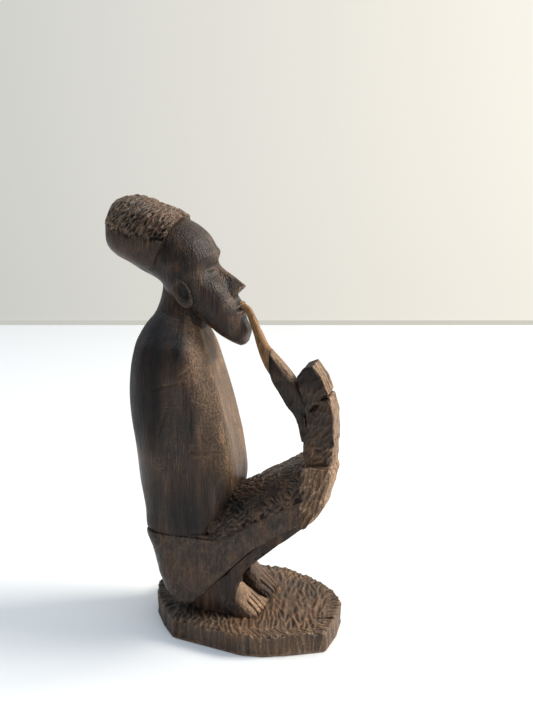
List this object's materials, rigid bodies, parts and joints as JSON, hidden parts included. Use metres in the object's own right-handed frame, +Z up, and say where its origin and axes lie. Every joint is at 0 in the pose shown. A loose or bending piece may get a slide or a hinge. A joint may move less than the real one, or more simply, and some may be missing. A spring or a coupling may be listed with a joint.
{
  "type": "carved wooden figurine",
  "caption": "Carved dark wooden figurine of a man squatting on a chip-carved base, smoking a pipe held in one hand.",
  "frame": {"origin": "on the underside of the base, on the plane that halves the figure, below its lap", "axes": "+Z up, +X the way the figure faces, -Y its right side, where it holds the pipe"},
  "size_m": [0.0934, 0.0635, 0.1738],
  "materials": {
    "dark_wood": "satin",
    "chipped_wood": "satin",
    "pale_wood": "matte"
  },
  "bodies": {
    "root": {"base": "chipped_wood", "right_foot": "dark_wood", "left_foot": "dark_wood", "right_shin": "dark_wood", "left_shin": "dark_wood", "right_thigh": "dark_wood", "left_thigh": "dark_wood", "right_knee": "chipped_wood", "left_knee": "chipped_wood", "lap_cloth": "chipped_wood", "torso": "dark_wood", "neck": "dark_wood", "head": "dark_wood", "hair": "dark_wood", "right_ear": "dark_wood", "left_ear": "dark_wood", "right_forearm": "chipped_wood", "right_hand": "dark_wood", "right_thumb": "dark_wood", "pipe_stem": "dark_wood", "pipe_mouthpiece": "pale_wood"}
  },
  "joints": []
}
